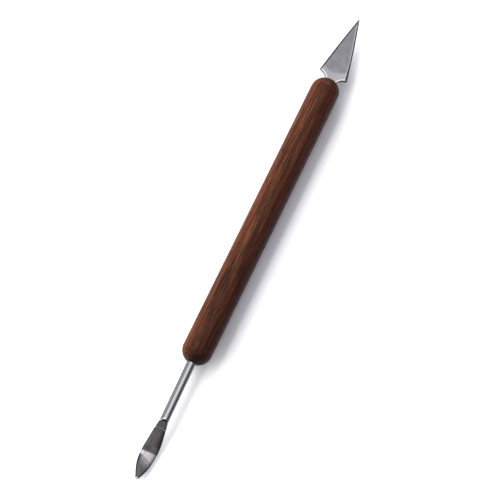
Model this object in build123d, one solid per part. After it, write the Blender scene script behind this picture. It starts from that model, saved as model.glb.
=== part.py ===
from build123d import *
from math import asin, atan2, degrees, hypot, radians, tan
import os

# A double-ended modelling tool: a turned wooden handle with a spear blade at one end
# and a bowed leaf blade on a round shank at the other.
# It lies along X with the spear towards +X, on the plane z = 0. All sizes are in millimetres.

# Handle
handle_length = 110.0
handle_diameter = 10.0
nose_flat_diameter = 0.5

# Steel stock and the way it is bedded in the handle.
# Both bores lean a little off the handle's axis, and the spear's one also starts beside it.
shank_diameter = 3.0
tang_depth = 22.0
glue_gap = 0.2
spear_bore_lean_degrees = 1.1
spear_bore_offset = 0.3
leaf_bore_lean_degrees = 0.9

# Spear blade
spear_stand_off = 1.95
spear_length = 23.5
spear_width = 10.4
spear_thickness = 1.0
spear_tip_radius = 0.25
spear_bevel_width = 0.45
spear_edge_land = 0.12
spear_neck_width = 3.3
spear_neck_thickness = 1.6
spear_neck_run = 2.6
spear_swell_length = 4.0
tang_taper_lead = 0.5
tang_taper_length = 4.0

# Leaf blade
shank_length = 20.2
leaf_length = 20.2
leaf_width = 5.25
leaf_thickness = 0.9
leaf_root_overlap = 1.0
leaf_knee = 1.6
leaf_knee_radius = 8.0
leaf_belly_share = 0.614
leaf_belly_radius = 11.0
leaf_fall_degrees = 23.05
leaf_rise_degrees = 19.1
leaf_tip_radius = 0.4
leaf_step_length = 2.8

# One overrun serves every cut and every blank that is trimmed
overrun = 1.0

# Stations of the leaf blade, from the shank to the tip: share of the way along it,
# share of its width and share of its thickness there
leaf_section_shares = (
    (0.000, 0.47, 1.00),
    (0.090, 0.61, 1.06),
    (0.200, 0.72, 1.06),
    (0.330, 0.84, 1.04),
    (0.470, 0.95, 1.00),
    (0.600, 0.99, 0.98),
    (0.720, 0.90, 0.92),
    (0.830, 0.66, 0.82),
    (0.900, 0.44, 0.70),
    (0.950, 0.28, 0.58),
    (1.000, 0.15, 0.46),
)

handle_radius = handle_diameter / 2
shank_radius = shank_diameter / 2
bore_radius = shank_radius + glue_gap
bore_depth = tang_depth + glue_gap
leaf_belly = leaf_belly_share * leaf_length
leaf_dip = (leaf_belly - leaf_knee) * tan(radians(leaf_fall_degrees))


def turned_handle():
    """Barrel with rounded ends, centred on the origin along X."""
    half = handle_length / 2
    flat = nose_flat_diameter / 2
    shoulder = half - (handle_radius - flat)
    mid_share = 0.5 ** 0.5
    mid_x = shoulder + (handle_radius - flat) * mid_share
    mid_r = flat + (handle_radius - flat) * mid_share
    outline = (
        Line((-half, 0), (-half, flat))
        + ThreePointArc((-half, flat), (-mid_x, mid_r), (-shoulder, handle_radius))
        + Line((-shoulder, handle_radius), (shoulder, handle_radius))
        + ThreePointArc((shoulder, handle_radius), (mid_x, mid_r), (half, flat))
        + Line((half, flat), (half, 0))
        + Line((half, 0), (-half, 0))
    )
    return revolve(make_face(outline), Axis.X)


def rod(start, end):
    """Round bar of the steel stock along X."""
    return Pos(start, 0, 0) * (Rot(0, 90, 0) * Cylinder(
        shank_radius, end - start, align=(Align.CENTER, Align.CENTER, Align.MIN)))


def slope_cutter(start, run, drop, side):
    """Block whose sloping face runs from the rod's surface at start, down by drop over run."""
    angle = degrees(atan2(drop, run))
    reach = run + drop + shank_diameter + overrun
    block = Box(reach, reach, reach, align=(Align.MIN, Align.CENTER, Align.MIN))
    placed = Pos(start, 0, shank_radius) * (Rot(0, angle, 0) * block)
    return placed if side > 0 else mirror(placed, Plane.XY)


def spear_point():
    """Where the spear's long edges would meet, a little beyond its rounded tip."""
    half = spear_width / 2
    centre = spear_length - spear_tip_radius
    slope = atan2(half, centre) - asin(spear_tip_radius / hypot(half, centre))
    return Vector(spear_stand_off + half / tan(slope), 0, 0)


def spear_outline():
    """Flat shape of the spear blade, with a concave quarter circle at each shoulder."""
    half = spear_width / 2
    neck = spear_neck_width / 2
    shoulder = half - neck
    base = spear_stand_off
    back = -spear_neck_run
    tip = spear_point()
    corner_share = 0.5 ** 0.5
    arc_x = base - shoulder + shoulder * corner_share
    arc_y = half - shoulder * corner_share
    lines = Line((back, -neck), (back, neck))
    for side in (1, -1):
        lines += Line((back, side * neck), (base - shoulder, side * neck))
        lines += ThreePointArc((base - shoulder, side * neck), (arc_x, side * arc_y), (base, side * half))
        lines += Line((base, side * half), tip)
    face = make_face(lines)
    return fillet(face.vertices().sort_by(Axis.X)[-1], spear_tip_radius)


def spear_side():
    """Side shape of the spear blade: a plate that thickens towards its neck."""
    plate = spear_thickness / 2
    neck = spear_neck_thickness / 2
    back = -spear_neck_run - overrun
    swell = spear_stand_off + spear_swell_length / 2
    end = spear_point().X + overrun
    outline = Polyline(
        (back, -neck), (swell - spear_swell_length, -neck), (swell, -plate), (end, -plate),
        (end, plate), (swell, plate), (swell - spear_swell_length, neck), (back, neck), close=True)
    return Plane.XZ * make_face(outline)


def edge_wedge(side):
    """Wedge that leaves a ground bevel on both faces along one long edge of the spear."""
    half = spear_width / 2
    corner = Vector(spear_stand_off, side * half, 0)
    along = (spear_point() - corner).normalized()
    inward = Vector(0, 0, -side).cross(along)
    land = spear_edge_land / 2
    rise = (spear_thickness / 2 - land) / spear_bevel_width
    far = spear_width + spear_length
    section = Polyline(
        (0, -land), (far, -land - far * rise), (far, land + far * rise), (0, land), close=True)
    plane = Plane(origin=corner, x_dir=inward, z_dir=along)
    return extrude(plane * make_face(section), amount=far, both=True)


def spear_blade():
    """Spear blade, neck and round tang in one piece of steel, from the handle's end along +X."""
    thick = spear_neck_thickness + shank_diameter
    plate = extrude(spear_outline(), amount=thick, both=True)
    plate &= extrude(spear_side(), amount=spear_width, both=True)
    plate &= edge_wedge(1)
    plate &= edge_wedge(-1)
    taper_start = -spear_neck_run - tang_taper_lead
    tang = rod(-tang_depth, taper_start + 2 * tang_taper_length)
    for side in (1, -1):
        tang -= slope_cutter(taper_start, tang_taper_length, shank_radius - spear_thickness / 4, side)
    return plate + tang


def spear_pocket():
    """Space for the spear's tang and neck in the wood: a bore and a shallow slot."""
    half = spear_width / 2
    shoulder = half - spear_neck_width / 2
    sink = shoulder - spear_stand_off
    at_nose = half - (shoulder ** 2 - sink ** 2) ** 0.5
    bore = Pos(overrun, 0, 0) * (Rot(0, -90, 0) * Cylinder(
        bore_radius, bore_depth + overrun, align=(Align.CENTER, Align.CENTER, Align.MIN)))
    slot = Pos(overrun, 0, 0) * Box(
        spear_neck_run + glue_gap + overrun,
        2 * (at_nose + glue_gap),
        spear_neck_thickness + 2 * glue_gap,
        align=(Align.MAX, Align.CENTER, Align.CENTER))
    return bore + slot


def leaf_path():
    """Middle line of the leaf blade in the XZ plane: level, down to the belly, up to the tip.

    It runs one tip radius too far, and the blade is then rounded off at its true length.
    """
    start = shank_length - leaf_root_overlap
    knee = shank_length + leaf_knee
    belly = shank_length + leaf_belly
    end = shank_length + leaf_length + leaf_tip_radius
    lift = (end - belly) * tan(radians(leaf_rise_degrees))
    line = FilletPolyline(
        (start, 0), (knee, 0), (belly, -leaf_dip), (end, lift - leaf_dip),
        radius=(leaf_knee_radius, leaf_belly_radius))
    return Plane.XZ * line


def tip_rounder():
    """Block with a round hollow that trims the leaf to a rounded tip."""
    centre = shank_length + leaf_length - leaf_tip_radius
    tall = 2 * (leaf_dip + leaf_thickness)
    block = Pos(centre, 0, 0) * Box(
        2 * leaf_tip_radius + overrun, leaf_width, tall, align=(Align.MIN, Align.CENTER, Align.CENTER))
    return block - Pos(centre, 0, 0) * Cylinder(leaf_tip_radius, tall + overrun)


def lens_section(place, half_width, half_thickness):
    """Lens of two arcs, square to the leaf's middle line."""
    outline = (
        ThreePointArc((-half_width, 0), (0, half_thickness), (half_width, 0))
        + ThreePointArc((half_width, 0), (0, -half_thickness), (-half_width, 0))
    )
    return place * make_face(outline)


def leaf_blade():
    """Leaf blade, round shank and tang in one piece of steel, from the handle's end along +X."""
    path = leaf_path()
    sections = []
    for along, width, thickness in leaf_section_shares:
        place = Plane(origin=path @ along, x_dir=(0, 1, 0), z_dir=path % along)
        sections.append(lens_section(place, width * leaf_width / 2, thickness * leaf_thickness / 2))
    blade = loft(sections) - tip_rounder()
    bar = rod(-tang_depth, shank_length + 2 * leaf_step_length)
    bar -= slope_cutter(shank_length, leaf_step_length, shank_radius, 1)
    return blade + bar


def leaf_pocket():
    """Bore for the leaf's tang."""
    return Pos(overrun, 0, 0) * (Rot(0, -90, 0) * Cylinder(
        bore_radius, bore_depth + overrun, align=(Align.CENTER, Align.CENTER, Align.MIN)))


spear_reach = handle_length / 2 + spear_stand_off + spear_length
leaf_reach = handle_length / 2 + shank_length + leaf_length
lying = Pos((leaf_reach - spear_reach) / 2, 0, handle_radius)
at_spear_end = lying * Pos(handle_length / 2, -spear_bore_offset, 0) * Rot(0, 0, spear_bore_lean_degrees)
at_leaf_end = lying * Pos(-handle_length / 2, 0, 0) * Rot(0, 0, 180 + leaf_bore_lean_degrees)

blank = lying * turned_handle()
spear = at_spear_end * spear_blade()
leaf = at_leaf_end * leaf_blade()
spear_hole = at_spear_end * spear_pocket()
leaf_hole = at_leaf_end * leaf_pocket()

nodes = {
    "handle": blank - spear_hole - leaf_hole,
    "spear_blade": spear,
    "leaf_blade": leaf,
    "spear_glue": (blank & spear_hole) - spear,
    "leaf_glue": (blank & leaf_hole) - leaf,
}

os.makedirs("parts", exist_ok=True)
for name, shape in nodes.items():
    export_step(shape, f"parts/{name}.step")
    box = shape.bounding_box()
    print(name, len(shape.solids()), round(shape.volume, 3), box.min, box.max)
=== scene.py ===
import logging
import math
from dataclasses import dataclass
from enum import Enum
from functools import cached_property
from typing import Any, Mapping, Optional, Sequence, Union

import bmesh
import bpy
import numpy as np
from mathutils import Matrix, Vector


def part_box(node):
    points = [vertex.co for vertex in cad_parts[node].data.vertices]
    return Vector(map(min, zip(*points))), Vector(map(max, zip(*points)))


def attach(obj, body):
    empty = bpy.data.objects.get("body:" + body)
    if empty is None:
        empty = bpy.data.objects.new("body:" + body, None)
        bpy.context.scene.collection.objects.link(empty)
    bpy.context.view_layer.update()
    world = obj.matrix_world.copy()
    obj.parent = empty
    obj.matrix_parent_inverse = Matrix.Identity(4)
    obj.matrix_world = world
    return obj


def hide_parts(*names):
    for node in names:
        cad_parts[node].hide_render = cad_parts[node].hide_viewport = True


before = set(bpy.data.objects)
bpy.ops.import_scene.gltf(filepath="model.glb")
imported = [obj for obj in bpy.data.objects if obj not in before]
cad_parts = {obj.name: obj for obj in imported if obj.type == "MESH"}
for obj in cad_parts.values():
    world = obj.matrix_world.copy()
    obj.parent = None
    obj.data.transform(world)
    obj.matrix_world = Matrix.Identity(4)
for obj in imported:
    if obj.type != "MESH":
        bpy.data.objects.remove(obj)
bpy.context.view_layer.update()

LOG = logging.getLogger("modelling_tool")
MM = 0.001
SLIVER = 1e-9
# A height farther out than every face of the tool
BEYOND = 1.0
ORIGIN = Vector((0, 0, 0))
AXES = (Vector((1, 0, 0)), Vector((0, 1, 0)), Vector((0, 0, 1)))

Colour = tuple[float, float, float]
# A smooth step is given by the value where it is 0 and the value where it is 1
Step = tuple[float, float]
Feed = Union["Signal", bpy.types.NodeSocket, bpy.types.Node, float, Sequence[float]]


class ToolEnd(Enum):
    """The two ends of the handle."""

    SPEAR = "spear"
    LEAF = "leaf"


class Blend(Enum):
    """How one colour is laid over another."""

    MIX = "MIX"
    MULTIPLY = "MULTIPLY"


# What places the pieces, as the construction has it


@dataclass(frozen=True)
class ToolPlan:
    """The driving sizes that more than one piece follows, and where the two ends sit.

    The tool lies along X with its spear towards +X, and stands on the plane z = 0.
    """

    handle_length: float = 110.0 * MM
    shank_radius: float = 1.5 * MM
    tang_depth: float = 22.0 * MM
    glue_gap: float = 0.2 * MM
    spear_reach: float = 25.45 * MM
    leaf_reach: float = 40.4 * MM
    spear_offset: float = 0.3 * MM
    spear_lean: float = math.radians(1.1)
    leaf_lean: float = math.radians(0.9)

    @property
    def bore_radius(self) -> float:
        """Radius of the bores, with room for the glue."""
        return self.shank_radius + self.glue_gap

    @property
    def handle_radius(self) -> float:
        """Half of the handle's height in the frame."""
        low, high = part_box("handle")
        return (high.z - low.z) / 2

    def middle(self) -> Matrix:
        """Where the middle of the handle lies in the frame."""
        return Matrix.Translation(((self.leaf_reach - self.spear_reach) / 2, 0, self.handle_radius))

    def end(self, which: ToolEnd) -> Matrix:
        """Frame of one end, with its X axis pointing out of the handle.

        Args:
            which: the end that is asked for.

        Returns:
            The matrix from that end's own frame to the shared frame.
        """
        half = self.handle_length / 2
        if which is ToolEnd.SPEAR:
            return (self.middle() @ Matrix.Translation((half, -self.spear_offset, 0))
                    @ Matrix.Rotation(self.spear_lean, 4, "Z"))
        return (self.middle() @ Matrix.Translation((-half, 0, 0))
                @ Matrix.Rotation(math.pi + self.leaf_lean, 4, "Z"))


# Shader nodes

NOISE_MEAN = 0.5
# The two colour inputs of a Mix node and its colour output, by number
MIX_COLOURS = (6, 7, 2)


@dataclass(frozen=True)
class Grain:
    """Soft noise, in cells that may be longer one way than another."""

    cell: tuple[float, float, float]
    detail: float
    rough: float
    warp: float = 0.0


class Signal:
    """A shader socket in an expression: the operators add Math nodes behind it."""

    def __init__(self, graph: "Graph", socket: bpy.types.NodeSocket) -> None:
        """Wraps a socket.

        Args:
            graph: the graph that new nodes go into.
            socket: the output that this signal stands for.
        """
        self.graph = graph
        self.socket = socket

    def _math(self, operation: str, first: Feed, second: Feed) -> "Signal":
        """Adds one Math node and returns its result."""
        return self.graph.signal("ShaderNodeMath", {"operation": operation}, {0: first, 1: second})

    def __add__(self, other: Feed) -> "Signal":
        """Sum of two signals."""
        return self._math("ADD", self, other)

    def __radd__(self, other: Feed) -> "Signal":
        """Sum with a number on the left."""
        return self._math("ADD", other, self)

    def __sub__(self, other: Feed) -> "Signal":
        """Difference of two signals."""
        return self._math("SUBTRACT", self, other)

    def __rsub__(self, other: Feed) -> "Signal":
        """Difference from a number on the left."""
        return self._math("SUBTRACT", other, self)

    def __mul__(self, other: Feed) -> "Signal":
        """Product of two signals."""
        return self._math("MULTIPLY", self, other)

    def __rmul__(self, other: Feed) -> "Signal":
        """Product with a number on the left."""
        return self._math("MULTIPLY", other, self)

    def __truediv__(self, other: Feed) -> "Signal":
        """Quotient of two signals."""
        return self._math("DIVIDE", self, other)

    def __rtruediv__(self, other: Feed) -> "Signal":
        """Quotient of a number on the left."""
        return self._math("DIVIDE", other, self)

    def __pow__(self, other: Feed) -> "Signal":
        """This signal raised to a power."""
        return self._math("POWER", self, other)

    def sine(self) -> "Signal":
        """Sine of this signal, in radians."""
        return self._math("SINE", self, 0.0)

    def size(self) -> "Signal":
        """This signal without its sign."""
        return self._math("ABSOLUTE", self, 0.0)

    def most(self, other: Feed) -> "Signal":
        """The larger of two signals."""
        return self._math("MAXIMUM", self, other)

    def window(self, step: Step) -> "Signal":
        """Smooth step of this signal.

        Args:
            step: where it is 0 and where it is 1. The second may be the smaller one, and it
                falls then.

        Returns:
            A signal from 0 to 1.
        """
        low, high = step
        if high < low:
            return 1.0 - self.window((high, low))
        return self.graph.signal(
            "ShaderNodeMapRange", {"interpolation_type": "SMOOTHSTEP"},
            {"Value": self, "From Min": low, "From Max": high})

    def band(self, rise: Step, fall: Step) -> "Signal":
        """A band that is 1 between a rising step and a falling one."""
        return self.window(rise) * self.window(fall)


class Graph:
    """The node tree of one material or of the world."""

    def __init__(self, tree: bpy.types.NodeTree) -> None:
        """Empties a node tree, so that this graph can fill it.

        Args:
            tree: the node tree to fill.
        """
        self.tree = tree
        tree.nodes.clear()

    def node(self, kind: str, settings: Optional[Mapping[str, Any]] = None,
             sockets: Optional[Mapping[Union[int, str], Feed]] = None) -> bpy.types.Node:
        """Adds a node, sets it and then feeds its sockets.

        Args:
            kind: the node's type.
            settings: its properties. The name stops stands for a colour ramp's stops.
            sockets: the value or the link of each input, by name or by number.

        Returns:
            The new node.
        """
        made = self.tree.nodes.new(kind)
        for name, value in (settings or {}).items():
            if name == "stops":
                self._set_stops(made.color_ramp, value)
            else:
                setattr(made, name, value)
        for name, value in (sockets or {}).items():
            self._feed(made.inputs[name], value)
        return made

    def signal(self, kind: str, settings: Optional[Mapping[str, Any]] = None,
               sockets: Optional[Mapping[Union[int, str], Feed]] = None,
               output: Union[int, str] = 0) -> Signal:
        """Adds a node and wraps one of its outputs.

        Args:
            kind: the node's type.
            settings: its properties.
            sockets: the value or the link of each input.
            output: the output that is wrapped, by name or by number.

        Returns:
            The output as a signal.
        """
        return Signal(self, self.node(kind, settings, sockets).outputs[output])

    def _feed(self, target: bpy.types.NodeSocket, value: Feed) -> None:
        """Links or sets one input.

        Args:
            target: the input.
            value: its value, or what is linked to it.
        """
        if isinstance(value, Signal):
            value = value.socket
        if isinstance(value, bpy.types.Node):
            value = value.outputs[0]
        if isinstance(value, bpy.types.NodeSocket):
            self.tree.links.new(value, target)
        elif target.type == "RGBA" and len(value) == 3:
            target.default_value = (*value, 1.0)
        else:
            target.default_value = value

    @staticmethod
    def _set_stops(ramp: bpy.types.ColorRamp, stops: Sequence[tuple[float, Colour]]) -> None:
        """Gives a colour ramp its stops.

        Args:
            ramp: the colour ramp.
            stops: position and colour of each stop.
        """
        while len(ramp.elements) > len(stops):
            ramp.elements.remove(ramp.elements[-1])
        while len(ramp.elements) < len(stops):
            ramp.elements.new(1.0)
        for element, (position, colour) in zip(ramp.elements, stops):
            element.position = position
            element.color = (*colour, 1.0)

    def place(self) -> Signal:
        """Position on the surface in the shared frame, in metres."""
        return self.signal("ShaderNodeTexCoord", output="Object")

    def along(self, point: Signal, origin: Vector, axis: Vector) -> Signal:
        """How far a point lies along an axis.

        Args:
            point: the position.
            origin: where the axis starts.
            axis: its direction, of length 1.

        Returns:
            The distance from the origin along the axis, in metres.
        """
        away = self.signal("ShaderNodeVectorMath", {"operation": "SUBTRACT"}, {0: point, 1: origin})
        return self.signal(
            "ShaderNodeVectorMath", {"operation": "DOT_PRODUCT"}, {0: away, 1: axis}, "Value")

    def measure(self, point: Signal, origin: Vector, axes: Sequence[Vector] = AXES) -> tuple[Signal, ...]:
        """How far a point lies along each of several axes from one origin."""
        return tuple(self.along(point, origin, axis) for axis in axes)

    def noise(self, place: Sequence[Signal], grain: Grain) -> Signal:
        """Soft noise.

        Args:
            place: the three distances that it varies with.
            grain: its cells and its detail.

        Returns:
            The noise, about NOISE_MEAN on average.
        """
        cells = {i: distance / size for i, (distance, size) in enumerate(zip(place, grain.cell))}
        return self.signal("ShaderNodeTexNoise", None, {
            "Vector": self.signal("ShaderNodeCombineXYZ", None, cells),
            "Scale": 1.0,
            "Detail": grain.detail,
            "Roughness": grain.rough,
            "Distortion": grain.warp})

    def mix(self, factor: Feed, first: Feed, second: Feed, blend: Blend = Blend.MIX) -> Signal:
        """Mix of two colours.

        Args:
            factor: the share of the second one.
            first: the colour at 0.
            second: the colour at 1.
            blend: how the second one is laid over the first one.

        Returns:
            The mixed colour.
        """
        under, over, result = MIX_COLOURS
        return self.signal(
            "ShaderNodeMix", {"data_type": "RGBA", "blend_type": blend.value},
            {0: factor, under: first, over: second}, result)

    def ramp(self, factor: Signal, stops: Sequence[tuple[float, Colour]]) -> Signal:
        """Colour ramp.

        Args:
            factor: where on the ramp the colour is read.
            stops: position and colour of each stop.

        Returns:
            The colour.
        """
        return self.signal("ShaderNodeValToRGB", {"stops": stops}, {0: factor})


# Finishes


class Finish:
    """What every finish of the tool shares."""

    slot: str

    def paint(self, graph: Graph) -> bpy.types.Node:
        """Adds the finish's nodes and returns its shader."""
        raise NotImplementedError

    def material(self) -> bpy.types.Material:
        """Makes the material of this finish."""
        made = bpy.data.materials.new(self.slot)
        made.use_nodes = True
        graph = Graph(made.node_tree)
        shader = self.paint(graph)
        graph.node("ShaderNodeOutputMaterial", None, {"Surface": shader})
        return made


@dataclass(frozen=True)
class TurnedWood(Finish):
    """Dark red-brown hardwood with straight grain, open pores and a satin lacquer.

    A tone runs over the wood and picks its brown, and each lift adds to that tone; the lifts on the lit
    left side and along its edge are painted light, and the far left rim is painted shade.
    The sheen is a painted highlight, and the leaf end darkens with end grain and painted shade. Left and
    right are those of someone who looks down on the tool with its spear ahead.
    """

    plan: ToolPlan
    slot: str = "turned_wood"
    shadow_brown: Colour = (0.026, 0.009, 0.006)
    heart_brown: Colour = (0.078, 0.0242, 0.0135)
    ember_brown: Colour = (0.27, 0.082, 0.031)
    # Dark of the pores, also laid on both ends, where at the leaf end it is partly painted shade
    pore_and_shade_brown: Colour = (0.012, 0.005, 0.004)
    # Painted sheen: a lacquer highlight painted into the colour
    painted_sheen_brown: Colour = (0.27, 0.165, 0.11)
    shadow_tone: float = 0.1
    heart_tone: float = 0.48
    ember_tone: float = 0.95
    figure: Grain = Grain((17.0 * MM, 2.4 * MM, 2.4 * MM), 3.0, 0.5, 0.4)
    fibres: Grain = Grain((16.0 * MM, 0.21 * MM, 0.21 * MM), 4.0, 0.7)
    pores: Grain = Grain((3.0 * MM, 0.22 * MM, 0.22 * MM), 1.0, 0.4)
    specks: Grain = Grain((0.9 * MM, 0.9 * MM, 0.9 * MM), 2.0, 0.6)
    pore_step: Step = (0.56, 0.68)
    pith_across: float = 11.0 * MM
    pith_below: float = 9.0 * MM
    ring_width: float = 2.1 * MM
    ring_bend: float = 2.6 * MM
    base_tone: float = 0.36
    side_step: Step = (-4.2 * MM, 4.2 * MM)
    # Painted light: the left side, towards the lamp, is lighter
    lit_side_lift: float = 0.06
    # Painted shade: at the far left rim the lifts of the lit side stop
    far_rim_shade: Step = (4.4 * MM, 5.0 * MM)
    edge_step: Step = (2.6 * MM, 4.1 * MM)
    # Painted light along the lit left edge
    lit_edge_lift: float = 0.17
    ring_lift: float = 0.05
    figure_lift: float = 0.3
    fibre_lift: float = 2.2
    left_step: Step = (-1.0 * MM, 3.2 * MM)
    # Painted light: the grain shows stronger on the lit left side
    lit_fibre_lift: float = 2.2
    length_lift: float = 0.09
    leaf_end: Step = (5.5 * MM, 0.0)
    spear_end: Step = (5.5 * MM, 2.75 * MM)
    spear_lift: float = 0.02
    speck_lift: float = 1.3
    pore_weight: float = 0.5
    # Where the painted sheen lies, left of the middle along the fibres, and how strong it is
    sheen_rise: Step = (-0.2 * MM, 0.9 * MM)
    sheen_fall: Step = (2.9 * MM, 1.9 * MM)
    sheen_fibres: Step = (-0.08, 0.1)
    sheen_weight: float = 0.12
    # End grain soak and painted shade: the leaf end darkens away from the lit left side
    leaf_soak_and_shade: float = 0.85
    leaf_shade_side: Step = (2.8 * MM, 0.5 * MM)
    spear_nose: Step = (4.2 * MM, 1.8 * MM)
    # The spear end darkens, and more so towards the right
    spear_soak: float = 0.5
    spear_right_step: Step = (0.8 * MM, -1.5 * MM)
    spear_right_darkening: float = 0.4
    rough: float = 0.46
    pore_rough: float = 0.25
    fibre_rough: float = 0.15
    gloss: float = 0.08
    fibre_height: float = 0.5
    relief: float = 0.02 * MM

    def paint(self, graph: Graph) -> bpy.types.Node:
        """Adds the wood's nodes.

        Args:
            graph: the graph to fill.

        Returns:
            The wood's shader.
        """
        place = graph.measure(graph.place(), self.plan.middle().translation)
        x, y, z = place
        half = self.plan.handle_length / 2
        figure = graph.noise(place, self.figure) - NOISE_MEAN
        fibre = graph.noise(place, self.fibres) - NOISE_MEAN
        pores = graph.noise(place, self.pores).window(self.pore_step)
        specks = graph.noise(place, self.specks) - NOISE_MEAN
        across = y + self.pith_across
        below = z + self.pith_below
        from_pith = (across * across + below * below) ** 0.5
        rings = ((from_pith + figure * self.ring_bend) * (2 * math.pi / self.ring_width)).sine()
        # Painted light on the left side and its edge, cut off by painted shade at the far left rim
        far_rim_shade = y.window(self.far_rim_shade)
        edge = y.window(self.edge_step)
        left = y.window(self.left_step) - far_rim_shade
        at_leaf = (x + half).window(self.leaf_end)
        at_spear = (half - x).window(self.spear_end)
        tone = self.base_tone + (y.window(self.side_step) - far_rim_shade) * self.lit_side_lift
        tone = tone + edge * self.lit_edge_lift + rings * self.ring_lift + figure * self.figure_lift
        # Painted light: the grain is stronger on the lit left side
        tone = tone + fibre * (self.fibre_lift + left * self.lit_fibre_lift)
        tone = tone + (x / half) * (1.0 - edge) * self.length_lift
        tone = tone + at_spear * self.spear_lift + at_spear.most(at_leaf) * specks * self.speck_lift
        colour = graph.ramp(tone, (
            (self.shadow_tone, self.shadow_brown),
            (self.heart_tone, self.heart_brown),
            (self.ember_tone, self.ember_brown)))
        colour = graph.mix(pores * self.pore_weight, colour, self.pore_and_shade_brown)
        # Painted sheen: a lacquer highlight left of the middle
        sheen = y.band(self.sheen_rise, self.sheen_fall) * fibre.window(self.sheen_fibres)
        colour = graph.mix(sheen * self.sheen_weight, colour, self.painted_sheen_brown)
        # Darker ends: at the leaf end, end grain and painted shade away from the lit side; at the spear
        # end, darker towards the right
        leaf_nose = at_leaf * y.window(self.leaf_shade_side) * self.leaf_soak_and_shade
        spear_nose = (half - x).window(self.spear_nose) * (
            self.spear_soak + y.window(self.spear_right_step) * self.spear_right_darkening)
        colour = graph.mix(leaf_nose.most(spear_nose), colour, self.pore_and_shade_brown)
        bump = graph.node("ShaderNodeBump", None, {
            "Strength": 1.0, "Distance": self.relief, "Height": fibre * self.fibre_height - pores})
        return graph.node("ShaderNodeBsdfPrincipled", None, {
            "Base Color": colour,
            "Roughness": self.rough + pores * self.pore_rough + fibre * self.fibre_rough,
            "Specular IOR Level": self.gloss,
            "Normal": bump})


@dataclass(frozen=True)
class Steel(Finish):
    """Ground steel, which each blade zones in its own way."""

    plan: ToolPlan
    end: ToolEnd
    slot: str
    lines: Grain
    rough: float
    line_rough: float = 0.2
    relief: float = 0.006 * MM

    def measure(self, graph: Graph) -> tuple[Signal, ...]:
        """Position in the blade's own frame, out of the handle along X."""
        place = self.plan.end(self.end)
        axes = [column.copy() for column in place.to_3x3().col]
        return graph.measure(graph.place(), place.translation, axes)

    def facing(self, graph: Graph, axis: Vector) -> Signal:
        """How squarely the surface faces one way along an axis or the other, from 0 to 1."""
        normal = graph.signal("ShaderNodeNewGeometry", output="Normal")
        return graph.along(normal, ORIGIN, axis).size()

    def shader(self, graph: Graph, colour: Signal, rough: Feed, height: Signal) -> bpy.types.Node:
        """Metal shader with ground lines in relief.

        Args:
            graph: the graph to fill.
            colour: the metal's colour.
            rough: its roughness.
            height: its relief, where 1 is the finish's full relief.

        Returns:
            The shader.
        """
        bump = graph.node("ShaderNodeBump", None, {
            "Strength": 1.0, "Distance": self.relief, "Height": height})
        return graph.node("ShaderNodeBsdfPrincipled", None, {
            "Base Color": colour, "Metallic": 1.0, "Roughness": rough, "Normal": bump})


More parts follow.
